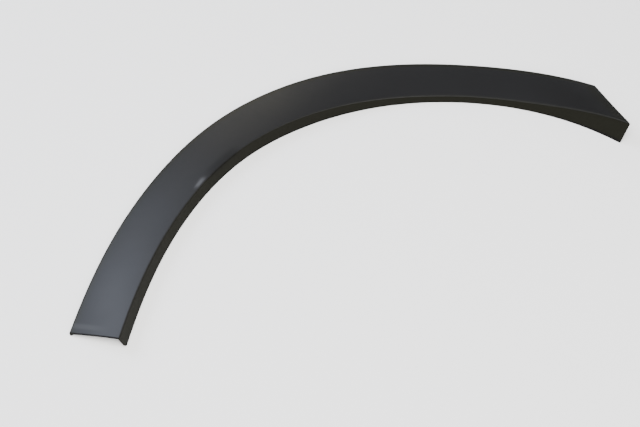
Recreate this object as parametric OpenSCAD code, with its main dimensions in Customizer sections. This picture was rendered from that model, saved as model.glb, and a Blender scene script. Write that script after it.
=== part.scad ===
// Wheel arch trim, moulded in one piece: a shallow channel that follows the wheel opening,
// with a wide crowned face, a low outer flange, a return lip towards the wheel and clip seats behind.
// It lies face up. u runs along the free edge of the lip, n points outwards from it, z points up.

/* [Opening edge in plan] */
// Length of the lip's free edge
edge_len = 822; // [770:1:950]
// Direction in which the edge leaves the leg's end, in degrees from X
edge_heading = 78.1; // [60:0.1:95]
// Radius of the edge at the end of the leg
leg_end_r = 985; // [500:5:2000]
// Radius of the edge halfway up the leg
leg_r = 450; // [380:1:700]
// Place of that radius along the edge
leg_at = 160; // [120:1:220]
// Smallest radius, at the shoulder
shoulder_r = 279; // [240:1:360]
// Place of the shoulder along the edge
shoulder_at = 304; // [260:1:350]
// Radius of the edge where the crown starts
crown_start_r = 411; // [340:1:550]
// Place where the crown starts
crown_start_at = 386; // [370:1:450]
// Radius of the edge over the wheel
crown_r = 485; // [400:1:700]
// Place of the crown along the edge
crown_at = 608; // [540:1:650]
// Radius of the edge on the tail
tail_r = 362; // [280:1:500]
// Where the tail's radius is reached, measured back from the tip
tail_back = 40; // [10:1:80]

/* [Lip] */
// Depth of the lip at the end of the leg
lip_h_end = 25.5; // [16:0.5:40]
// Depth of the lip on the leg
lip_h_leg = 22.5; // [14:0.5:36]
// Place of that depth along the edge
lip_leg_at = 150; // [80:1:250]
// Depth of the lip past the shoulder
lip_h_shoulder = 21; // [14:0.5:36]
// Place of that depth along the edge
lip_shoulder_at = 370; // [300:1:450]
// Depth of the lip over the wheel
lip_h_crown = 12.5; // [11:0.5:24]
// Place of that depth along the edge
lip_crown_at = 600; // [540:1:620]
// Depth of the lip at the start of the tail
lip_h_tail = 16.5; // [12:0.5:30]
// Place of that depth, measured back from the tip
lip_tail_back = 120; // [80:1:140]
// Depth of the lip at the tip
lip_h_tip = 39.5; // [24:0.5:48]
// Lean of the lip from upright, in degrees
lip_draft = 9; // [3:0.5:14]
// Radius of the lip's lower corner at the leg's end
lip_corner_r = 4; // [2:0.5:8]
// Radius of the lip's lower corner at the tip
tip_corner_r = 2; // [1:0.5:6]

/* [Face] */
// Width of the face at the end of the leg
face_w_end = 65.5; // [50:0.5:80]
// Width of the face on the leg
face_w_leg = 63.5; // [50:0.5:80]
// Place of that width along the edge
face_leg_at = 200; // [100:1:280]
// Width of the face past the shoulder
face_w_shoulder = 65; // [50:0.5:80]
// Place of that width along the edge
face_shoulder_at = 400; // [320:1:480]
// Width of the face over the wheel
face_w_crown = 57; // [46:0.5:75]
// Place of that width along the edge
face_crown_at = 600; // [540:1:660]
// Width of the face on the tail
face_w_tail = 56; // [46:0.5:75]
// Place of that width, measured back from the tip
face_tail_back = 50; // [0:1:90]
// Rise of the face's arc above its chord
face_rise = 1.5; // [0.5:0.1:2.5]
// Radius of the crease between face and lip on the leg
crease_r_leg = 1.4; // [1:0.1:7]
// How far that radius runs along the edge
crease_leg_to = 300; // [100:1:400]
// Radius of the crease on the tail
crease_r_tail = 3; // [1:0.1:6]
// Where that radius begins along the edge
crease_tail_from = 600; // [500:1:750]

/* [Outer flange] */
// Height of the face's outer corner
flange_h = 7; // [6:0.1:12]
// How far that height runs along the edge
flange_to = 600; // [400:1:700]
// Height of the face's outer corner at the tip
flange_h_tip = 16; // [8:0.5:22]
// Lean of the flange from upright, in degrees
flange_draft = 5; // [1:0.5:12]
// Radius of the outer corner
flange_r = 2.2; // [1:0.1:4]

/* [Wall] */
// Thickness of the moulded wall
wall = 2.8; // [2:0.1:3.5]
// Bevel along both free edges
edge_break = 0.5; // [0.2:0.1:0.8]
// Lean of the tail's cut from square, in degrees
tail_cut = 54; // [20:1:62]

/* [Clip seats] */
// Number of clip seats behind the face
seat_count = 7; // [3:1:10]
// First seat, measured from the end of the leg
seat_first = 42; // [30:1:80]
// Last seat, measured back from the tip
seat_last = 96; // [80:1:140]
// Length of a seat along the trim
seat_l = 24; // [20:0.5:34]
// Width of a seat across the trim
seat_w = 18; // [15:0.5:26]
// Thickness of a seat's side walls
seat_wall = 1.8; // [1.2:0.1:2.6]
// Thickness of the seat's plate
seat_plate = 1.8; // [1.2:0.1:2.2]
// Height of the plate above the rim
seat_gap = 3; // [1.5:0.1:3.5]
// Radius of the hole that holds the clip's neck
neck_r = 4.2; // [3:0.1:5]
// Width of the slot that the clip slides in by
neck_slot = 7; // [5:0.1:8]

/* [Gussets] */
// Thickness of a gusset behind the crease
gusset_t = 1.6; // [1:0.1:2.4]
// Reach of a gusset along the face
gusset_reach = 22; // [12:0.5:26]
// Share of the lip's depth that a gusset leaves free
gusset_free = 0.4; // [0.2:0.05:0.7]

/* [Hidden] */

// Steps of the mesh: along the trim, round the two corners and across the face
body_steps = 56;
tail_steps = 14;
crease_steps = 5;
corner_steps = 3;
face_steps = 7;
path_step = 2;
tail_zone = 170;
bisections = 22;
hole_facets = 48;

// Overlap of a cut past the face that it starts from
cut_over = 1;

// Knots of each flowing size: places along the edge, and the values there
edge_at = [0, leg_at, shoulder_at, crown_start_at, crown_at, edge_len - tail_back];
edge_curve = [1 / leg_end_r, 1 / leg_r, 1 / shoulder_r, 1 / crown_start_r, 1 / crown_r, 1 / tail_r];
lip_at = [0, lip_leg_at, lip_shoulder_at, lip_crown_at, edge_len - lip_tail_back, edge_len];
lip_h = [lip_h_end, lip_h_leg, lip_h_shoulder, lip_h_crown, lip_h_tail, lip_h_tip];
face_at = [0, face_leg_at, face_shoulder_at, face_crown_at, edge_len - face_tail_back];
face_w = [face_w_end, face_w_leg, face_w_shoulder, face_w_crown, face_w_tail];

// Smallest radius that an inner corner keeps
min_inner_r = 0.4;

// Index of the stretch between knots that holds u
function stretch(u, at, i = 0) = i >= len(at) - 2 || u < at[i + 1] ? i : stretch(u, at, i + 1);

// Value eased from one knot to the next, held beyond the last ones
function eased(u, at, v) =
    let (i = stretch(u, at), t = min(1, max(0, (u - at[i]) / (at[i + 1] - at[i]))))
    v[i] + (v[i + 1] - v[i]) * t * t * (3 - 2 * t);

// Slope of the flowing curve at knot i: its neighbours' slopes, weighted by the stretches between
function knot_slope(i, at, v) =
    let (last = len(at) - 1)
    i == 0 ? (v[1] - v[0]) / (at[1] - at[0]) :
    i == last ? (v[last] - v[last - 1]) / (at[last] - at[last - 1]) :
    let (before = at[i] - at[i - 1], after = at[i + 1] - at[i])
    ((v[i] - v[i - 1]) / before * after + (v[i + 1] - v[i]) / after * before) / (before + after);

// Flowing curve through the values at the knots
function flowing(u, at, v) =
    let (w = min(at[len(at) - 1], max(at[0], u)), i = stretch(w, at))
    let (d = at[i + 1] - at[i], t = (w - at[i]) / d)
    v[i] * (1 + 2 * t) * pow(1 - t, 2) + knot_slope(i, at, v) * d * t * pow(1 - t, 2)
    + v[i + 1] * t * t * (3 - 2 * t) + knot_slope(i + 1, at, v) * d * t * t * (t - 1);

// The edge in plan, walked in short steps whose turning follows the eased curvature
function turn(i) = path_step * eased((i + 0.5) * path_step, edge_at, edge_curve) * 180 / PI;
walk = [for (i = 0, p = [0, 0], a = edge_heading; i * path_step <= edge_len + path_step;
             p = p + path_step * [cos(a - turn(i) / 2), sin(a - turn(i) / 2)], a = a - turn(i), i = i + 1)
        [p.x, p.y, a]];

// Point and heading of the edge at u
function edge(u) =
    let (i = min(len(walk) - 2, max(0, floor(u / path_step))), t = u / path_step - i)
    walk[i] * (1 - t) + walk[i + 1] * t;

// Point of the part at u, n and z
function place(u, n, z) = let (e = edge(u)) [e.x - n * sin(e.z), e.y + n * cos(e.z), z];

function crease_r(u) = eased(u, [crease_leg_to, crease_tail_from], [crease_r_leg, crease_r_tail]);
function flange_top(u) = eased(u, [flange_to, edge_len], [flange_h, flange_h_tip]);

// Sharp corners of the section at u, depth mm under the outer surface:
// free edge, crease, outer corner and foot of the flange
function corners(u, depth) =
    let (h = flowing(u, lip_at, lip_h), w = flowing(u, face_at, face_w))
    let (z = flange_top(u), crease = h * tan(lip_draft))
    let (fall = atan((h - z) / w), foot = crease + w + z * tan(flange_draft))
    let (lip_in = [cos(lip_draft), -sin(lip_draft)], face_in = [-sin(fall), -cos(fall)])
    let (flange_in = [-cos(flange_draft), -sin(flange_draft)])
    [[depth / cos(lip_draft), 0],
     [crease, h] + depth * (lip_in + face_in) / (1 + lip_in * face_in),
     [crease + w, z] + depth * (face_in + flange_in) / (1 + face_in * flange_in),
     [foot - depth / cos(flange_draft), 0]];

function unit(v) = v / norm(v);

// Point t of the way round a fillet of radius r at corner b, between the lines to a and c
function fillet_point(a, b, c, r, t) =
    let (to_a = unit(a - b), to_c = unit(c - b), half = acos(to_a * to_c) / 2)
    let (centre = b + unit(to_a + to_c) * r / sin(half), sweep = 180 - 2 * half)
    let (from = b + to_a * r / tan(half) - centre, to = b + to_c * r / tan(half) - centre)
    centre + (from * sin((1 - t) * sweep) + to * sin(t * sweep)) / sin(sweep);

// Distance from corner b to where its fillet starts
function fillet_run(a, b, c, r) = r / tan(acos(unit(a - b) * unit(c - b)) / 2);

// Levels of the lip's lower points: the bevel, then up the round of the lower corner by these angles
round_angles = [50, 70, 90];
lip_levels = [edge_break, for (a = round_angles) edge_break + (lip_corner_r - edge_break) * (1 - cos(a))];
lip_last = len(lip_levels) - 1;
crease_last = lip_last + crease_steps + 1;
face_last = crease_last + face_steps - 1;
corner_last = face_last + corner_steps + 1;
skin_last = corner_last + 1;

// Point i across one skin of the section at u, from the free edge of the lip to the flange's foot
function skin(u, i, depth) =
    let (c = corners(u, depth), outer = corners(u, 0))
    let (w = norm(c[2] - c[1]), rise = face_rise * pow(w / norm(outer[2] - outer[1]), 2))
    let (lift = [0, 4 * rise], face_start = c[2] + lift, face_end = c[1] + lift)
    let (r1 = max(min_inner_r, crease_r(u) - depth), r2 = max(min_inner_r, flange_r - depth))
    i <= lip_last ? c[0] + (c[1] - c[0]) * lip_levels[i] / c[1].y :
    i <= crease_last ? fillet_point(c[0], c[1], face_start, r1, (i - lip_last - 1) / crease_steps) :
    i <= face_last ?
        let (from = fillet_run(c[0], c[1], face_start, r1) / w,
             to = 1 - fillet_run(face_end, c[2], c[3], r2) / w,
             t = from + (to - from) * (i - crease_last) / face_steps)
        c[1] + (c[2] - c[1]) * t + [0, 4 * rise * t * (1 - t)] :
    i <= corner_last ? fillet_point(face_end, c[2], c[3], r2, (i - face_last - 1) / corner_steps) :
    c[3] + (c[2] - c[3]) * edge_break / c[2].y;

// The closed section, as a ring: outer skin, foot of the flange, inner skin, free edge of the lip.
// Each of the two edges between the skins has a bevel point on either side
bevel_points = 2;
inner_first = skin_last + 1 + bevel_points;
ring_len = inner_first + skin_last + 1 + bevel_points;

// Index on the inner skin that backs point i of the outer one, and the reverse
function inner_of(i) = inner_first + skin_last - i;

function ring_point(u, k) =
    k <= skin_last ? skin(u, k, 0) :
    k == skin_last + 1 ? corners(u, 0)[3] - [edge_break, 0] :
    k < inner_first ? corners(u, wall)[3] + [edge_break, 0] :
    k <= inner_of(0) ? skin(u, inner_of(k), wall) :
    k < ring_len - 1 ? corners(u, wall)[0] - [edge_break, 0] : corners(u, 0)[0] + [edge_break, 0];

// How far a lower corner of radius r stands back from its cut at height z
function corner_back(z, r) = z >= r ? 0 : r - sqrt(r * r - pow(r - z, 2));

// Height of ring point k on the lip, and a height above every round elsewhere
function lip_level(k) =
    k > inner_of(0) ? 0 :
    k <= lip_last ? lip_levels[k] :
    inner_of(k) <= lip_last ? lip_levels[inner_of(k)] : edge_len;

// The tail's cut: a straight line in plan through the tip of the crease
tip_heading = edge(edge_len).z;
tip_crease = place(edge_len, corners(edge_len, 0)[1].x, 0);
cut_heading = tip_heading + 90 + tail_cut;
function past_cut(u, k) =
    let (s = ring_point(u, k), p = place(u, s.x, 0) - tip_crease)
    p.x * sin(cut_heading) - p.y * cos(cut_heading);

// Where line k meets the cut, found by halving
function cut_at(k, low, high, n = 0) =
    n == bisections ? low :
    let (middle = (low + high) / 2)
    past_cut(middle, k) > 0 ? cut_at(k, low, middle, n + 1) : cut_at(k, middle, high, n + 1);

line_start = [for (k = [0 : ring_len - 1]) corner_back(lip_level(k), lip_corner_r)];
line_end = [for (k = [0 : ring_len - 1]) past_cut(edge_len, k) <= 0 ?
    edge_len - corner_back(lip_level(k), tip_corner_r) : cut_at(k, edge_len - tail_zone, edge_len)];

// Place along the edge of station j on line k: even to the tail, and from there gathered to the cut
stations = body_steps + tail_steps;
tail_start = edge_len - tail_zone;
function station(j, k) =
    j <= body_steps ? line_start[k] + (tail_start - line_start[k]) * j / body_steps :
    tail_start + (line_end[k] - tail_start) * (j - body_steps) / tail_steps;

raw_points = [for (j = [0 : stations]) for (k = [0 : ring_len - 1])
    let (u = station(j, k), s = ring_point(u, k)) place(u, s.x, s.y)];

// The part's own zero: the middle of its plan, on the plane that it lies on
low_x = min([for (p = raw_points) p.x]);
high_x = max([for (p = raw_points) p.x]);
low_y = min([for (p = raw_points) p.y]);
high_y = max([for (p = raw_points) p.y]);
zero = [(low_x + high_x) / 2, (low_y + high_y) / 2, 0];

side_faces = [for (j = [0 : stations - 1]) for (k = [0 : ring_len - 1])
    let (a = j * ring_len + k, b = j * ring_len + (k + 1) % ring_len)
    each [[a, b + ring_len, a + ring_len], [a, b, b + ring_len]]];
skin_quads = [for (i = [0 : skin_last - 1]) [i, i + 1, inner_of(i + 1), inner_of(i)]];
foot_quad = [skin_last, skin_last + 1, skin_last + bevel_points, inner_first];
lip_quad = [ring_len - 1, 0, inner_of(0), inner_of(0) + 1];
cap_quads = concat(skin_quads, [foot_quad, lip_quad]);
last_ring = stations * ring_len;
start_cap = [for (q = cap_quads) each [[q[0], q[2], q[1]], [q[0], q[3], q[2]]]];
end_cap = [for (q = cap_quads) each [[q[0], q[1], q[2]], [q[0], q[2], q[3]]]];
end_faces = [for (f = end_cap) [for (v = f) v + last_ring]];

module shell() {
    polyhedron([for (p = raw_points) p - zero], concat(side_faces, start_cap, end_faces));
}

// Height of the middle of the face's wall at u, across its width by the share t
function face_middle(u, t) =
    let (c = corners(u, wall / 2))
    c[1] + (c[2] - c[1]) * t + [0, 4 * face_rise * t * (1 - t)];

// A clip seat: three walls under the face, and a plate with the neck's hole and its slot
module seat_walls(h) {
    linear_extrude(h)
        difference() {
            square([seat_l, seat_w], center = true);
            translate([seat_wall, 0])
                square([seat_l, seat_w - 2 * seat_wall], center = true);
        }
}

module seat_floor() {
    difference() {
        translate([-seat_l / 2, -seat_w / 2, 0])
            cube([seat_l, seat_w, seat_plate]);
        translate([0, 0, -cut_over])
            cylinder(h = seat_plate + 2 * cut_over, r = neck_r, $fn = hole_facets);
        translate([0, -neck_slot / 2, -cut_over])
            cube([seat_l, neck_slot, seat_plate + 2 * cut_over]);
    }
}

module clip_seat(u) {
    middle = face_middle(u, 0.5);
    heading = edge(u).z;
    along = (face_middle(u + 1, 0.5).y - face_middle(u - 1, 0.5).y) / 2;
    rim = face_middle(u, 1);
    across = (rim.y - face_middle(u, 0).y) / (rim.x - face_middle(u, 0).x);
    translate(place(u, middle.x, 0) - zero)
        rotate([0, 0, heading])
            intersection() {
                translate([0, 0, seat_gap]) {
                    seat_walls(middle.y + seat_l);
                    seat_floor();
                }
                translate([0, 0, middle.y])
                    rotate([asin(across / norm([along, across, 1])), -atan(along), 0])
                        translate([-seat_l, -seat_l, -3 * seat_l])
                            cube([2 * seat_l, 2 * seat_l, 3 * seat_l]);
            }
}

// A gusset that ties the lip to the face behind the crease
module gusset(u) {
    c = corners(u, wall / 2);
    w = norm(c[2] - c[1]);
    face_end = c[1] + (c[2] - c[1]) * gusset_reach / w;
    round_r = max(min_inner_r, crease_r(u) - wall / 2);
    translate(place(u, 0, 0) - zero)
        rotate([90, 0, edge(u).z + 90])
            linear_extrude(gusset_t, center = true)
                polygon([c[0] + (c[1] - c[0]) * gusset_free,
                         each [for (t = [0, 0.5, 1]) fillet_point(c[0], c[1], c[2], round_r, t)],
                         face_end,
                         face_end - [0, wall]]);
}

seat_pitch = (edge_len - seat_last - seat_first) / (seat_count - 1);

module arch_trim() {
    color([0.24, 0.25, 0.27])
        union() {
            shell();
            for (i = [0 : seat_count - 1])
                clip_seat(seat_first + i * seat_pitch);
            for (i = [0 : seat_count - 2])
                gusset(seat_first + (i + 0.5) * seat_pitch);
        }
}

arch_trim();
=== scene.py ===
import math
import bmesh
import bpy
import numpy as np
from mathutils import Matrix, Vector


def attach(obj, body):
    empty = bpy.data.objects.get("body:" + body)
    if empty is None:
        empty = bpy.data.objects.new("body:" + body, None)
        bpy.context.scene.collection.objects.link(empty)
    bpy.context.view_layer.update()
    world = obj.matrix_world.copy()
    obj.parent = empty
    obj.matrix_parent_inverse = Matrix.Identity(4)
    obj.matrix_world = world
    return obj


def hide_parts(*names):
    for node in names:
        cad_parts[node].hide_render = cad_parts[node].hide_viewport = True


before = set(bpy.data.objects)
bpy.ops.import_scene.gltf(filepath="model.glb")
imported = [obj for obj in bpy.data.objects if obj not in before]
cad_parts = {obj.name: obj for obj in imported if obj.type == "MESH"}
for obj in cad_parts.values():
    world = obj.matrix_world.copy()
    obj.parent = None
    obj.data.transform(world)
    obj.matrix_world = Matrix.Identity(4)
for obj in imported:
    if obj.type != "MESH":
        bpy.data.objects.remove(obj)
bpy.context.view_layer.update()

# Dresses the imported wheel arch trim. Sizes are in millimetres, as in the part's source, and toMetres
# brings each mesh, light and camera to the frame's metres.
toMetres = 0.001

# Camera and lights come first

cameraSet = dict(azimuth=0.0, elevation=62.0, distance=1204.18, target=(-51.345, -26.015, 0.0),
                 focalPixels=950.0, imageWidth=640, sensor=36.0, nearest=20.0, farthest=50000.0)


def standAround(name, data, place, target=(0.0, 0.0, 0.0)):
    # a new object that looks at target, from target plus distance along the direction that azimuth
    # (from -Y towards +X) and elevation give
    a, e = math.radians(place["azimuth"]), math.radians(place["elevation"])
    back = Vector((math.sin(a) * math.cos(e), -math.cos(a) * math.cos(e), math.sin(e)))
    thing = bpy.data.objects.new(name, data)
    bpy.context.scene.collection.objects.link(thing)
    thing.location = Vector(target) * toMetres + back * place["distance"] * toMetres
    thing.rotation_mode = "QUATERNION"
    thing.rotation_quaternion = (-back).to_track_quat("-Z", "Y")
    return thing


def makeCamera(c):
    # focal length: focalPixels over imageWidth times the sensor's width
    data = bpy.data.cameras.new("camera")
    data.sensor_width = c["sensor"]
    data.lens = c["focalPixels"] / c["imageWidth"] * c["sensor"]
    data.clip_start, data.clip_end = c["nearest"] * toMetres, c["farthest"] * toMetres
    data.dof.use_dof = False
    bpy.context.scene.camera = standAround("camera", data, c, c["target"])


# mirrored says whether the plastic's gloss shows the box: the overhead one only lights, and its weaker twin
# in the same place is what the gloss shows. lowFront gives the face its sheen in views from behind.
whiteLight = (1.0, 0.99, 0.97)
softboxes = {
    "windowLeft": dict(azimuth=244, elevation=42, distance=2300, width=1100, height=1100,
                       watts=36, colour=(0.765, 0.832, 1.0), mirrored=True),
    "frontOverhead": dict(azimuth=0, elevation=75, distance=2600, width=2200, height=1500,
                          watts=140, colour=whiteLight, mirrored=False),
    "frontSoft": dict(azimuth=0, elevation=75, distance=2600, width=2200, height=1500,
                      watts=50, colour=whiteLight, mirrored=True),
    "lowFront": dict(azimuth=25, elevation=32, distance=2600, width=2000, height=900,
                     watts=28, colour=whiteLight, mirrored=True),
    "warmBack": dict(azimuth=199, elevation=24, distance=2400, width=700, height=420,
                     watts=4.5, colour=(1.0, 0.93, 0.72), mirrored=True),
}


def makeSoftbox(name, s):
    data = bpy.data.lights.new(name, "AREA")
    data.shape = "RECTANGLE"
    data.size, data.size_y = s["width"] * toMetres, s["height"] * toMetres
    data.energy = s["watts"]
    data.color = s["colour"]
    lamp = standAround(name, data, s)
    lamp.visible_glossy = s["mirrored"]


skySet = dict(colour=(0.95, 0.97, 1.0), strength=0.212)


def makeSky(s):
    world = bpy.data.worlds.new("studio")
    world.use_nodes = True
    background = world.node_tree.nodes["Background"]
    background.inputs["Color"].default_value = (*s["colour"], 1)
    background.inputs["Strength"].default_value = s["strength"]
    bpy.context.scene.world = world


makeCamera(cameraSet)
for name, box in softboxes.items():
    makeSoftbox(name, box)
makeSky(skySet)
print("camera and lights made")

# Materials

# the rim's colour is painted shade along the lip's free edge; the pale colour is a painted highlight and
# the near-black one painted shade
plastic = dict(faceColour=(0.0088, 0.0088, 0.0093), lipColour=(0.0086, 0.0085, 0.0059),
               rimColour=(0.0047, 0.0047, 0.0040), scuffColour=(0.30, 0.31, 0.34),
               smearColour=(0.001, 0.001, 0.001),
               faceRoughness=0.42, lipRoughness=0.55, faceSpecular=0.33, lipSpecular=0.03,
               grainPerMetre=1500.0, grainHeight=0.04, grainDetail=2.0, grainStrength=0.6,
               cloudPerMetre=16.0, cloudDetail=3.0, roughnessSpread=0.05, refraction=1.5)
tint = dict(face=0.0, lip=0.5, rim=1.0)  # values of the lipShare attribute at which each colour is whole


def makeGrainGroup(p):
    # fine moulded grain as a normal, and a roughness that drifts by its spread with a wide soft cloud
    group = bpy.data.node_groups.new("mouldedGrain", "ShaderNodeTree")
    for label in ("Grain Strength", "Roughness", "Roughness Spread"):
        group.interface.new_socket(name=label, in_out="INPUT", socket_type="NodeSocketFloat")
    for label, kind in (("Normal", "NodeSocketVector"), ("Roughness", "NodeSocketFloat")):
        group.interface.new_socket(name=label, in_out="OUTPUT", socket_type=kind)
    nodes, links = group.nodes, group.links
    given, out = nodes.new("NodeGroupInput"), nodes.new("NodeGroupOutput")
    place = nodes.new("ShaderNodeTexCoord")
    noises = {}
    for label in ("grain", "cloud"):
        noises[label] = nodes.new("ShaderNodeTexNoise")
        noises[label].inputs["Scale"].default_value = p[label + "PerMetre"]
        noises[label].inputs["Detail"].default_value = p[label + "Detail"]
        links.new(place.outputs["Object"], noises[label].inputs["Vector"])
    bump = nodes.new("ShaderNodeBump")
    bump.inputs["Distance"].default_value = p["grainHeight"] * toMetres
    links.new(given.outputs["Grain Strength"], bump.inputs["Strength"])
    links.new(noises["grain"].outputs["Fac"], bump.inputs["Height"])
    links.new(bump.outputs["Normal"], out.inputs["Normal"])
    swing = nodes.new("ShaderNodeMapRange")  # the cloud's 0 to 1 becomes -1 to 1
    swing.inputs["To Min"].default_value = -1
    links.new(noises["cloud"].outputs["Fac"], swing.inputs["Value"])
    drift = nodes.new("ShaderNodeMath")
    drift.operation = "MULTIPLY_ADD"
    sources = (swing.outputs["Result"], given.outputs["Roughness Spread"], given.outputs["Roughness"])
    for source, socket in zip(sources, drift.inputs):
        links.new(source, socket)
    links.new(drift.outputs["Value"], out.inputs["Roughness"])
    return group


def makePlastic(name, p, grain, roughness, specular):
    # satin plastic: the lipShare attribute takes its colour from the face's over the lip's to the rim's,
    # which is painted shade, and the painted highlight and painted shade attributes blend theirs over it
    material = bpy.data.materials.new(name)
    material.use_nodes = True
    nodes, links = material.node_tree.nodes, material.node_tree.links
    shader = nodes["Principled BSDF"]
    shader.inputs["IOR"].default_value = p["refraction"]
    shader.inputs["Specular IOR Level"].default_value = specular
    texture = nodes.new("ShaderNodeGroup")
    texture.node_tree = grain
    texture.inputs["Grain Strength"].default_value = p["grainStrength"]
    texture.inputs["Roughness"].default_value = roughness
    texture.inputs["Roughness Spread"].default_value = p["roughnessSpread"]
    lip, paintedHighlight, paintedShade = (nodes.new("ShaderNodeAttribute") for _ in range(3))
    lip.attribute_name, paintedHighlight.attribute_name, paintedShade.attribute_name = "lipShare", "paintedHighlight", "paintedShade"
    toLip = nodes.new("ShaderNodeValToRGB")
    stops = toLip.color_ramp.elements
    stops.new(tint["lip"])
    for stop, label in zip(stops, tint):
        stop.position = tint[label]
        stop.color = (*p[label + "Colour"], 1)
    links.new(lip.outputs["Fac"], toLip.inputs["Fac"])
    colour = toLip.outputs["Color"]
    for share, label in ((paintedHighlight, "scuffColour"), (paintedShade, "smearColour")):
        blend = nodes.new("ShaderNodeMix")
        blend.data_type = "RGBA"
        blend.inputs["B"].default_value = (*p[label], 1)
        links.new(colour, blend.inputs["A"])
        links.new(share.outputs["Fac"], blend.inputs["Factor"])
        colour = blend.outputs["Result"]
    links.new(colour, shader.inputs["Base Color"])
    for label in ("Roughness", "Normal"):
        links.new(texture.outputs[label], shader.inputs[label])
    return material


grainGroup = makeGrainGroup(plastic)
faceMaterial, lipMaterial = (
    makePlastic(name, plastic, grainGroup, plastic[side + "Roughness"], plastic[side + "Specular"])
    for name, side in (("trimFace", "face"), ("trimLip", "lip")))
print("materials made")

# The shell: the section of the part's source on a finer grid, with its edges rounded

# Places run along the opening edge from the leg's cut, and the values after them hold there. middle is the
# middle of the trim's box in plan, from the edge's start. shares gives the grid's columns in each stretch
# of the section, from the lip's free edge over the crease and the outer corner to the flange's foot.
trim = dict(edgeLength=822.0, edgeHeading=78.1,
            edgePlaces=(0, 160, 304, 386, 608, 782), edgeRadii=(985, 450, 279, 411, 485, 362),
            lipPlaces=(0, 150, 370, 600, 702, 822), lipDepths=(25.5, 22.5, 21, 12.5, 16.5, 39.5),
            lipDraft=9.0,
            facePlaces=(0, 200, 400, 600, 772), faceWidths=(65.5, 63.5, 65, 57, 56), faceRise=1.5,
            creasePlaces=(300, 600), creaseRadii=(1.4, 3.0), leastRadius=0.4,
            flangePlaces=(600, 822), flangeTops=(7, 16), flangeDraft=5.0, flangeRadius=2.2,
            wall=2.8, edgeRound=0.6, legCorner=4.0, tipCorner=2.0, tailCut=54.0, tailZone=170.0,
            tailInset=0.45, middle=(279.472, 204.442),
            bodyRows=330, rowCrowding=1.2, tailRows=84, endRows=5,
            shares=dict(lipEdge=5, lip=9, crease=12, face=26, corner=8, flange=5, flangeEdge=5),
            bends=("lipEdge", "crease", "corner", "flangeEdge"), lipCrowding=1.5)


def stretchOf(u, places):
    # number of the stretch between two places that u lies in
    return np.clip(np.searchsorted(places, u, side="right") - 1, 0, len(places) - 2)


def eased(u, places, values):
    # value before plus the step to the next one times 3t^2 - 2t^3, t being the share of the stretch
    p, v = np.asarray(places, float), np.asarray(values, float)
    i = stretchOf(u, p)
    t = np.clip((u - p[i]) / (p[i + 1] - p[i]), 0, 1)
    return v[i] + (v[i + 1] - v[i]) * t * t * (3 - 2 * t)


def flowing(u, places, values):
    # cubic through the values, whose slope at a knot is the mean of its two stretches' slopes, each
    # weighted by the other stretch's length
    p, v = np.asarray(places, float), np.asarray(values, float)
    gap = np.diff(p)
    rate = np.diff(v) / gap
    inner = (rate[:-1] * gap[1:] + rate[1:] * gap[:-1]) / (gap[1:] + gap[:-1])
    slope = np.concatenate([rate[:1], inner, rate[-1:]])
    w = np.clip(u, p[0], p[-1])
    i = stretchOf(w, p)
    t = (w - p[i]) / gap[i]
    rising = t * t * (3 - 2 * t)
    bulge = gap[i] * t * (1 - t) * (slope[i] * (1 - t) - slope[i + 1] * t)
    return v[i] * (1 - rising) + v[i + 1] * rising + bulge


def walkEdge(s, step=1.0, spareSteps=3):
    # the lip's edge in plan: a running sum of short chords, each turned by step times the eased curvature;
    # a few spare steps run past the end
    u = np.arange(0, s["edgeLength"] + spareSteps * step, step)
    turn = step * eased(u + step / 2, s["edgePlaces"], 1 / np.asarray(s["edgeRadii"], float))
    heading = math.radians(s["edgeHeading"]) - np.concatenate([[0], np.cumsum(turn[:-1])])
    chord = heading - turn / 2
    x = np.concatenate([[0], np.cumsum(step * np.cos(chord[:-1]))])
    y = np.concatenate([[0], np.cumsum(step * np.sin(chord[:-1]))])
    return u, x, y, heading


def headingAt(walk, u):
    # the edge's heading at u, straight between two steps of the walk
    return np.interp(u, walk[0], walk[3])


def onPlan(s, walk, u, n):
    # the edge's point at u plus n along its left-hand normal, from the middle of the trim
    x, y, a = (np.interp(u, walk[0], w) for w in walk[1:])
    return x - n * np.sin(a) - s["middle"][0], y + n * np.cos(a) - s["middle"][1]


def corners(s, u, depth):
    # sharp corners of the section at u, depth under its outer skin: lip's edge, crease, outer corner, foot
    h, w = flowing(u, s["lipPlaces"], s["lipDepths"]), flowing(u, s["facePlaces"], s["faceWidths"])
    z = eased(u, s["flangePlaces"], s["flangeTops"])
    lipLean, flangeLean = math.radians(s["lipDraft"]), math.radians(s["flangeDraft"])
    crease, fall = h * math.tan(lipLean), np.arctan((h - z) / w)
    foot = crease + w + z * math.tan(flangeLean)
    d = np.broadcast_to(np.asarray(depth, float), u.shape)
    lipIn = np.full((*u.shape, 2), (math.cos(lipLean), -math.sin(lipLean)))
    flangeIn = np.full((*u.shape, 2), (-math.cos(flangeLean), -math.sin(flangeLean)))
    faceIn = np.stack([-np.sin(fall), -np.cos(fall)], -1)

    def mitre(a, b):
        # how far a corner moves when both its sides move in by d along a and b: d (a + b) / (1 + a.b)
        return d[..., None] * (a + b) / (1 + (a * b).sum(-1, keepdims=True))
    return (np.stack([d / math.cos(lipLean), 0 * u], -1),
            np.stack([crease, h], -1) + mitre(lipIn, faceIn),
            np.stack([crease + w, z], -1) + mitre(faceIn, flangeIn),
            np.stack([foot - d / math.cos(flangeLean), 0 * u], -1))


def unit(v):
    # v over its length
    return v / np.linalg.norm(v, axis=-1, keepdims=True)


def halfAngle(a, b, c):
    # half the angle at b: half the arc cosine of the dot product of its two sides' unit vectors
    return np.arccos(np.clip((unit(a - b) * unit(c - b)).sum(-1), -1, 1)) / 2


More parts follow.
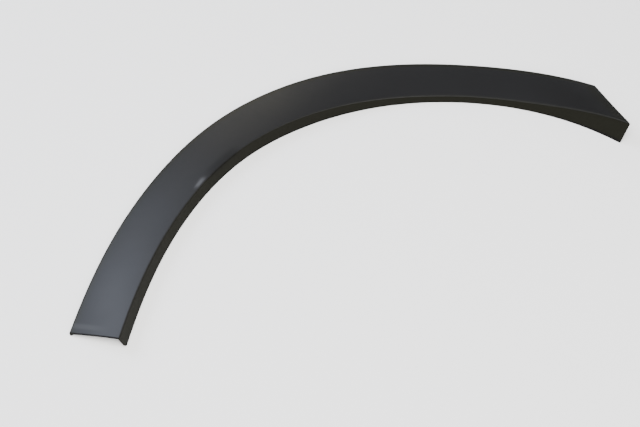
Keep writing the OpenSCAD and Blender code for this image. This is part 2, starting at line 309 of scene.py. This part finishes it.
def fillet(a, b, c, radius, t):
    # circle of that radius touching the lines b-a and b-c, at share t of the way round from the first
    half = halfAngle(a, b, c)[..., None]
    r = np.broadcast_to(radius, half.shape[:-1])[..., None]
    t = np.broadcast_to(t, half.shape[:-1])[..., None]
    toA, toC = unit(a - b), unit(c - b)
    centre = b + unit(toA + toC) * r / np.sin(half)
    sweep = np.pi - 2 * half
    start, end = b + toA * r / np.tan(half) - centre, b + toC * r / np.tan(half) - centre
    return centre + (start * np.sin((1 - t) * sweep) + end * np.sin(t * sweep)) / np.sin(sweep)


def sectionPoints(s, name, u, t, depth):
    # points (n, z) at share t along one stretch of the section, depth under the outer skin; the face is a
    # parabola over its chord, the crease and the outer corner are fillets, lip and flange are straight
    c, outer = corners(s, u, depth), corners(s, u, 0)
    d, t = np.broadcast_to(depth, u.shape), np.broadcast_to(t, u.shape)
    width = np.linalg.norm(c[2] - c[1], axis=-1)
    rise = s["faceRise"] * (width / np.linalg.norm(outer[2] - outer[1], axis=-1)) ** 2
    lift = np.stack([0 * u, 4 * rise], -1)  # raises the chord's far end to where the parabola's end heads
    inward = np.stack([np.where(d < s["wall"] / 2, 1.0, -1.0), 0 * u], -1)
    creaseR = np.maximum(s["leastRadius"], eased(u, s["creasePlaces"], s["creaseRadii"]) - d)
    cornerR = np.maximum(s["leastRadius"], s["flangeRadius"] - d)
    faceStart, faceEnd = c[2] + lift, c[1] + lift
    if name == "lipEdge":
        return fillet(c[0] + inward, c[0], c[1], s["edgeRound"], t)
    if name == "lip":
        a = fillet(c[0] + inward, c[0], c[1], s["edgeRound"], 1.0)
        b = fillet(c[0], c[1], faceStart, creaseR, 0.0)
        return a + (b - a) * t[..., None]
    if name == "crease":
        return fillet(c[0], c[1], faceStart, creaseR, t)
    if name == "face":
        a = creaseR / np.tan(halfAngle(c[0], c[1], faceStart)) / width
        b = 1 - cornerR / np.tan(halfAngle(faceEnd, c[2], c[3])) / width
        q = (a + (b - a) * t)[..., None]
        return c[1] + (c[2] - c[1]) * q + np.concatenate([0 * q, 4 * rise[..., None] * q * (1 - q)], -1)
    if name == "corner":
        return fillet(faceEnd, c[2], c[3], cornerR, t)
    if name == "flange":
        a = fillet(faceEnd, c[2], c[3], cornerR, 1.0)
        b = fillet(c[2], c[3], c[3] - inward, s["edgeRound"], 0.0)
        return a + (b - a) * t[..., None]
    return fillet(c[2], c[3], c[3] - inward, s["edgeRound"], t)


def sharesOf(s, name, count):
    # shares from end to end round a bend; a straight stretch stands between its neighbours' ends, and the
    # lip's points crowd towards its free edge as their share to the power lipCrowding
    if name in s["bends"]:
        return np.arange(count) / (count - 1)
    t = (np.arange(count) + 1) / (count + 1)
    return t ** s["lipCrowding"] if name == "lip" else t


def standBack(z, r):
    # how far a corner of radius r stands back from its cut at height z: r minus the root of r^2 - (r-z)^2
    return r - np.sqrt(r * r - (r - np.clip(z, 0, r)) ** 2)


def cutPlace(s, walk, name, t, depth, halvings=30):
    # place where each line of a stretch meets the tail's straight cut, found by halving, and whether the
    # line stays clear of the cut up to the edge's end
    length = np.full(t.shape, s["edgeLength"])
    crease = corners(s, length[:1], 0)[1][0, 0]
    tipX, tipY = onPlan(s, walk, s["edgeLength"], crease)
    cut = headingAt(walk, s["edgeLength"]) + math.pi / 2 + math.radians(s["tailCut"])

    def past(u):
        # distance of the line's point at u past the cut through the tip
        x, y = onPlan(s, walk, u, sectionPoints(s, name, u, t, depth)[..., 0])
        return (x - tipX) * math.sin(cut) - (y - tipY) * math.cos(cut)
    low, high = length - s["tailZone"], length
    whole = past(high) <= 0
    for _ in range(halvings):
        half = (low + high) / 2
        over = past(half) > 0
        low, high = np.where(over, low, half), np.where(over, half, high)
    return np.where(whole, length, low), whole


def shellGrid(s, walk):
    # rows of closed rings, outer skin out and inner skin back; towards each cut end the two skins close in
    # by edgeRound * (1 - cos a) while the row stands edgeRound * (1 - sin a) off the cut
    angle = np.linspace(0, np.pi / 2, s["endRows"])
    inset, back = s["edgeRound"] * (1 - np.cos(angle)), s["edgeRound"] * (1 - np.sin(angle))
    tailStart = s["edgeLength"] - s["tailZone"]
    # rows stand closer at the leg's cut
    main = np.linspace(0, 1, s["bodyRows"] + 1)[1:-1, None] ** s["rowCrowding"]
    tail = np.linspace(0, 1, s["tailRows"])[:-1, None]
    off = np.concatenate([inset[::-1], np.zeros(len(main) + len(tail)), inset])[:, None]
    skins = []
    for depth in (0.0, s["wall"]):
        us, points = [], []
        for name, count in s["shares"].items():
            t = sharesOf(s, name, count)
            starts, ends = np.zeros(count), np.full(count, s["edgeLength"])
            cut, whole = cutPlace(s, walk, name, t, depth)
            slant = np.where(whole, 1.0, 1 / math.cos(math.radians(s["tailCut"])))
            if name in ("lipEdge", "lip"):
                level = sectionPoints(s, name, starts, t, 0.0)[:, 1]
                starts = standBack(level, s["legCorner"])
                ends = ends - standBack(sectionPoints(s, name, ends, t, 0.0)[:, 1], s["tipCorner"])
            ends = np.where(whole, ends, cut) - s["tailInset"]
            first, last = starts + s["edgeRound"], ends - s["edgeRound"] * slant
            u = np.concatenate([starts + back[::-1, None], first + (tailStart - first) * main,
                                tailStart + (last - tailStart) * tail, ends - back[:, None] * slant])
            d = np.broadcast_to(off if depth == 0 else depth - off, u.shape)
            nz = sectionPoints(s, name, u, np.broadcast_to(t, u.shape), d)
            # the lowest edgeRound of the height starts at off, so that the free edges close in too
            low = nz[..., 1] < s["edgeRound"]
            nz[..., 1] = np.where(low, off + nz[..., 1] * (1 - off / s["edgeRound"]), nz[..., 1])
            us.append(u)
            points.append(nz)
        skins.append((np.concatenate(us, 1), np.concatenate(points, 1)))
    u = np.concatenate([skins[0][0], skins[1][0][:, ::-1]], 1)
    nz = np.concatenate([skins[0][1], skins[1][1][:, ::-1]], 1)
    x, y = onPlan(s, walk, u, nz[..., 0])
    return u, np.stack([x, y, nz[..., 1]], -1)


def gridFaces(rows, ring):
    # quads between neighbouring rows of closed rings, then the two end caps from skin to skin
    j, k = np.meshgrid(np.arange(rows - 1), np.arange(ring), indexing="ij")
    a, b = j * ring + k, j * ring + (k + 1) % ring
    sides = np.stack([a, a + ring, b + ring, b], -1).reshape(-1, 4)
    i = np.arange(ring // 2 - 1)
    cap = np.stack([i, i + 1, ring - 2 - i, ring - 1 - i], -1)
    return np.concatenate([sides, cap, cap[:, ::-1] + (rows - 1) * ring])


def signedVolume(points, quads):
    # each quad as two triangles: a sixth of the sum of a . (b x c) and a . (c x d)
    a, b, c, d = (points[quads[:, i]] for i in range(4))
    return ((a * np.cross(b, c)).sum() + (a * np.cross(c, d)).sum()) / 6


def makeMesh(name, points, faces, materials):
    # points in millimetres; faces as one array of quads, or as a list of index lists
    mesh = bpy.data.meshes.new(name)
    mesh.from_pydata((points * toMetres).tolist(), [], faces if isinstance(faces, list) else faces.tolist())
    mesh.validate()
    for material in materials:
        mesh.materials.append(material)
    piece = bpy.data.objects.new(name, mesh)
    bpy.context.scene.collection.objects.link(piece)
    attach(piece, "root")
    return piece


def addShare(mesh, name, values):
    layer = mesh.attributes.new(name, "FLOAT", "POINT")
    layer.data.foreach_set("value", np.asarray(values, np.float32).ravel())


# A knock beside the crease: a low swelling, a painted glint on it and a painted shade past it. at and
# across place each along the edge and over the face from the crease, skew slants the glint's ends, tilt
# turns it.
knock = dict(swelling=dict(at=236.0, across=2.0, length=9.0, width=6.0), swellingHeight=0.10,
             paintedHighlight=dict(at=224.6, across=4.7, length=8.8, width=2.8), paintedHighlightShare=0.125,
             skew=0.75, tilt=0.11,
             paintedShade=dict(at=263.0, across=3.5, length=27.0, width=7.2), paintedShadeShare=0.65)
# a painted highlight: a soft pale band behind the leg's cut, strongest towards the outer corner
legCutHighlight = dict(place=dict(at=9.3, across=62.0, length=3.2, width=34.0), share=0.036)
# painted shade: the face darkens towards the tail's tip, and turns to the lip's darker colour along the
# outer corner and the tail's cut; creaseWidth, cutWidth and columns are the widths over which this comes in
tipShade = dict(places=(670, 800), share=0.35, creaseWidth=4.0, cutWidth=24.0, cutShare=0.3)
paintedEdgeShade = dict(columns=3, corner=0.7, cut=0.8)
# the face's finish starts so many columns into the crease and ends so many past the face; the rows at the
# two cuts keep the lip's, which gives the leg's cut its dark edge
faceFinish = dict(creaseColumns=4, cornerColumns=1, legRows=5, tailRows=4)
markPower = 4  # the marks in the colour have a flatter top than a bell's
innerSkin = 1000.0  # distance from the crease that the inner skin is given, beyond every mark


def hill(u, v, at, across, length, width, power=2):
    # two-way bell: exp of minus each distance in units of its own half-length, raised to a power
    return np.exp(-np.abs((u - at) / length) ** power - np.abs((v - across) / width) ** power)


def distanceFromCrease(shell, creaseColumn):
    # running length of the outer skin's section, less what it is at the middle of the crease
    half = shell.shape[1] // 2
    steps = np.linalg.norm(np.diff(shell[:, :half], axis=1), axis=-1)
    along = np.concatenate([np.zeros((len(shell), 1)), np.cumsum(steps, axis=1)], 1)
    distance = np.full(shell.shape[:2], innerSkin)
    distance[:, :half] = along - along[:, creaseColumn][:, None]
    return distance


def paintedHighlightAt(u, v):
    # share of the painted highlight's colour: the knock's glint, slanted and turned, plus the band behind
    # the leg's cut
    slanted = u + knock["skew"] * (v - knock["paintedHighlight"]["across"])
    turned = v - knock["tilt"] * (u - knock["paintedHighlight"]["at"])
    paintedHighlight = knock["paintedHighlightShare"] * hill(slanted, turned, **knock["paintedHighlight"], power=markPower)
    return paintedHighlight + legCutHighlight["share"] * hill(u, v, **legCutHighlight["place"], power=markPower)


def paintedShadeAt(u, v, onFace, nearCut):
    # share of the painted shade's colour: the larger of the shade past the knock and the shade at the
    # tail's tip and cut
    paintedShade = knock["paintedShadeShare"] * hill(u, v, **knock["paintedShade"], power=markPower)
    shade = tipShade["share"] * onFace * eased(u, tipShade["places"], (0, 1))
    return np.maximum(paintedShade, shade + tipShade["cutShare"] * nearCut)


def tintAndShadeAt(ring, first, nearCut):
    # lipShare by column, straight between those where it changes: rim, lip, face, outer corner; the rim's
    # dark colour and the outer corner's are painted shade, the inner skin has the lip's, and the tail's cut
    # raises it as painted shade
    rimEnd, faceEnd = first["lip"] + 1, first["corner"] - paintedEdgeShade["columns"]
    columns = [rimEnd, rimEnd + 1, first["crease"], first["face"], faceEnd, first["corner"]]
    values = [tint["rim"], tint["lip"], tint["lip"], tint["face"], tint["face"], paintedEdgeShade["corner"]]
    share = np.interp(np.arange(ring), columns, values)
    share[ring // 2:] = tint["lip"]
    return np.maximum(share, paintedEdgeShade["cut"] * nearCut)


def finishFace(mesh, rows, ring, first):
    # first material on the face and second elsewhere, by the lower row and column of a polygon's first side
    start = np.empty(len(mesh.polygons), int)
    mesh.polygons.foreach_get("loop_start", start)
    corner = np.empty(len(mesh.loops), int)
    mesh.loops.foreach_get("vertex_index", corner)
    column = np.minimum(corner[start] % ring, corner[start + 1] % ring)
    row = np.minimum(corner[start] // ring, corner[start + 1] // ring)
    firstIn = first["crease"] + faceFinish["creaseColumns"]
    firstOut = first["corner"] + faceFinish["cornerColumns"]
    onFace = (column >= firstIn) & (column < firstOut)
    onFace &= (row >= faceFinish["legRows"]) & (row < rows - faceFinish["tailRows"])
    onFace[(rows - 1) * ring:] = False  # the caps at the two cuts
    mesh.polygons.foreach_set("material_index", np.where(onFace, 0, 1))


walk = walkEdge(trim)
edgePlace, shell = shellGrid(trim, walk)
rows, ring = edgePlace.shape
firstColumn = dict(zip(trim["shares"], np.cumsum([0, *trim["shares"].values()]).tolist()))
fromCrease = distanceFromCrease(shell, (firstColumn["crease"] + firstColumn["face"]) // 2)
# onFace and nearCut place the painted shade on the face towards the tail's tip and along the tail's cut
onFace = eased(fromCrease, (0, tipShade["creaseWidth"]), (0, 1)) * (fromCrease < innerSkin)
nearCut = onFace * eased(edgePlace[-1] - edgePlace, (0, tipShade["cutWidth"]), (1, 0))
shell[..., 2] += knock["swellingHeight"] * hill(edgePlace, fromCrease, **knock["swelling"])
faces = gridFaces(rows, ring)
points = shell.reshape(-1, 3)
if signedVolume(points, faces) < 0:
    faces = faces[:, ::-1]
shellPiece = makeMesh("trimShell", points, faces, [faceMaterial, lipMaterial])
# colour shares: the lip's and the rim's with painted shade, then the painted highlights and the painted
# shade
addShare(shellPiece.data, "lipShare", tintAndShadeAt(ring, firstColumn, nearCut))
addShare(shellPiece.data, "paintedHighlight", paintedHighlightAt(edgePlace, fromCrease))
addShare(shellPiece.data, "paintedShade", paintedShadeAt(edgePlace, fromCrease, onFace, nearCut))
finishFace(shellPiece.data, rows, ring, firstColumn)
shellPiece.data.shade_smooth()
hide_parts("arch_trim")
print("shell made", len(shellPiece.data.vertices), "points")

# Clip seats and gussets behind the face

# faceShare places a seat's middle between crease and outer corner, step is how far its walls stand in from
# the plate's edge, and slopeReach is the way to either side over which the face's slope is taken
seat = dict(count=7, first=42.0, last=96.0, faceShare=0.5, length=24.0, width=18.0, wall=1.8, plate=1.8,
            gap=3.0, neckRadius=4.2, slot=7.0, arcSteps=28, step=0.1, slopeReach=1.0)
gusset = dict(thickness=1.6, reach=22.0, free=0.4, bendPoints=3)
softEdge = dict(width=0.25, segments=2, leastAngle=40.0)  # this angle leaves the neck's hole alone


def wallMiddle(s, u, share):
    # middle of the face's wall: chord from crease to outer corner plus the parabola's rise
    c = corners(s, np.asarray([u], float), s["wall"] / 2)
    n, z = (c[1] + (c[2] - c[1]) * share)[0]
    return n, z + 4 * s["faceRise"] * share * (1 - share)


def skinOf(count):
    # faces of a prism whose first ring of points is followed by its second
    i = np.arange(count)
    sides = np.stack([i, (i + 1) % count, (i + 1) % count + count, i + count], -1)
    return [i[::-1].tolist(), (i + count).tolist(), *sides.tolist()]


def prism(outline, low, high):
    # an outline in plan raised from its low to its high level, point by point
    points = np.concatenate([np.column_stack([outline, low]), np.column_stack([outline, high])])
    return points, skinOf(len(outline))


def joined(parts):
    # points of all parts one after the other, and their faces, shifted by the number of points before them
    shift = np.concatenate([[0], np.cumsum([len(p) for p, _ in parts])])
    faces = [[v + int(shift[n]) for v in f] for n, (_, group) in enumerate(parts) for f in group]
    return np.concatenate([p for p, _ in parts]), faces


def seatParts(s, b, walk, u):
    # a U-shaped wall up to the face, whose top follows the face's two slopes, and a plate with the neck's
    # hole and its slot; both outlines run round the seat's middle, turned to the edge's heading
    share, way = b["faceShare"], b["slopeReach"]
    n, z = wallMiddle(s, u, share)
    along = (wallMiddle(s, u + way, share)[1] - wallMiddle(s, u - way, share)[1]) / (2 * way)
    n0, z0 = wallMiddle(s, u, 0)
    n1, z1 = wallMiddle(s, u, 1)
    slope = (z1 - z0) / (n1 - n0)
    x, y = b["length"] / 2 - b["step"], b["width"] / 2 - b["step"]
    w = b["wall"] - b["step"]
    walls = np.array([(-x, -y), (x, -y), (x, w - y), (w - x, w - y),
                      (w - x, y - w), (x, y - w), (x, y), (-x, y)])
    x, y = b["length"] / 2, b["width"] / 2
    meet = math.asin(b["slot"] / 2 / b["neckRadius"])  # angle at which the slot runs into the hole
    arc = np.linspace(-meet, meet - 2 * math.pi, b["arcSteps"])
    hole = b["neckRadius"] * np.column_stack([np.cos(arc), np.sin(arc)])
    mouth = b["slot"] / 2
    plate = np.concatenate([[(-x, -y), (x, -y), (x, -mouth)], hole, [(x, mouth), (x, y), (-x, y)]])
    heading = float(headingAt(walk, u))
    turn = np.array([[math.cos(heading), math.sin(heading)], [-math.sin(heading), math.cos(heading)]])
    centre = np.array(onPlan(s, walk, u, n))
    plateLow, plateTop = np.full(len(plate), b["gap"]), np.full(len(plate), b["gap"] + b["plate"])
    wallLow = np.full(len(walls), b["gap"] + b["plate"] / 2)
    wallTop = z + along * walls[:, 0] + slope * walls[:, 1]
    walls, plate = walls @ turn + centre, plate @ turn + centre
    return [prism(walls, wallLow, wallTop), prism(plate, plateLow, plateTop)]


def gussetPart(s, g, walk, u):
    # a thin web across the inner corner, its upright edge along the lip and its top along the face
    place = np.full(g["bendPoints"], float(u))
    foot, crease, corner = corners(s, place, s["wall"] / 2)[:3]
    radius = np.maximum(s["leastRadius"], eased(place, s["creasePlaces"], s["creaseRadii"]) - s["wall"] / 2)
    bend = fillet(foot, crease, corner, radius, np.linspace(0, 1, g["bendPoints"]))
    low = foot[0] + (crease[0] - foot[0]) * g["free"]
    end = crease[0] + unit(corner[0] - crease[0]) * g["reach"]
    side = np.concatenate([[low], bend, [end, end - (0, s["wall"])]])
    heading = float(headingAt(walk, u))
    x, y = onPlan(s, walk, u, side[:, 0])
    half = g["thickness"] / 2 * np.array([math.cos(heading), math.sin(heading), 0])
    flat = np.column_stack([x, y, side[:, 1]])
    return np.concatenate([flat - half, flat + half]), skinOf(len(flat))


def faceOutwards(piece):
    work = bmesh.new()
    work.from_mesh(piece.data)
    bmesh.ops.recalc_face_normals(work, faces=work.faces)
    work.to_mesh(piece.data)
    work.free()


def soften(piece, e):
    bevel = piece.modifiers.new("soften", "BEVEL")
    bevel.width = e["width"] * toMetres
    bevel.segments = e["segments"]
    bevel.limit_method = "ANGLE"
    bevel.angle_limit = math.radians(e["leastAngle"])


pitch = (trim["edgeLength"] - seat["last"] - seat["first"]) / (seat["count"] - 1)
seatPlaces = seat["first"] + pitch * np.arange(seat["count"])
allSeats = [part for u in seatPlaces for part in seatParts(trim, seat, walk, u)]
allGussets = [gussetPart(trim, gusset, walk, u) for u in seatPlaces[:-1] + pitch / 2]
for name, parts in (("clipSeats", allSeats), ("gussets", allGussets)):
    piece = makeMesh(name, *joined(parts), [lipMaterial])
    faceOutwards(piece)
    soften(piece, softEdge)
    for label, value in (("lipShare", tint["lip"]), ("paintedHighlight", 0.0), ("paintedShade", 0.0)):
        addShare(piece.data, label, np.full(len(piece.data.vertices), value))
print("clip seats and gussets made")

# The floor that the trim lies on

floorSet = dict(half=6000.0, below=0.3, colour=(0.93, 0.93, 0.93), roughness=0.9, specular=0.0)


def makeFloor(f):
    # a square of twice half across, a little below the trim's free edges
    material = bpy.data.materials.new("paleFloor")
    material.use_nodes = True
    shader = material.node_tree.nodes["Principled BSDF"]
    shader.inputs["Base Color"].default_value = (*f["colour"], 1)
    shader.inputs["Roughness"].default_value = f["roughness"]
    shader.inputs["Specular IOR Level"].default_value = f["specular"]
    h, z = f["half"] * toMetres, -f["below"] * toMetres
    mesh = bpy.data.meshes.new("floor")
    mesh.from_pydata([(-h, -h, z), (h, -h, z), (h, h, z), (-h, h, z)], [], [(0, 1, 2, 3)])
    mesh.materials.append(material)
    floor = bpy.data.objects.new("floor", mesh)
    bpy.context.scene.collection.objects.link(floor)
    return floor


floor = makeFloor(floorSet)
print("floor made")
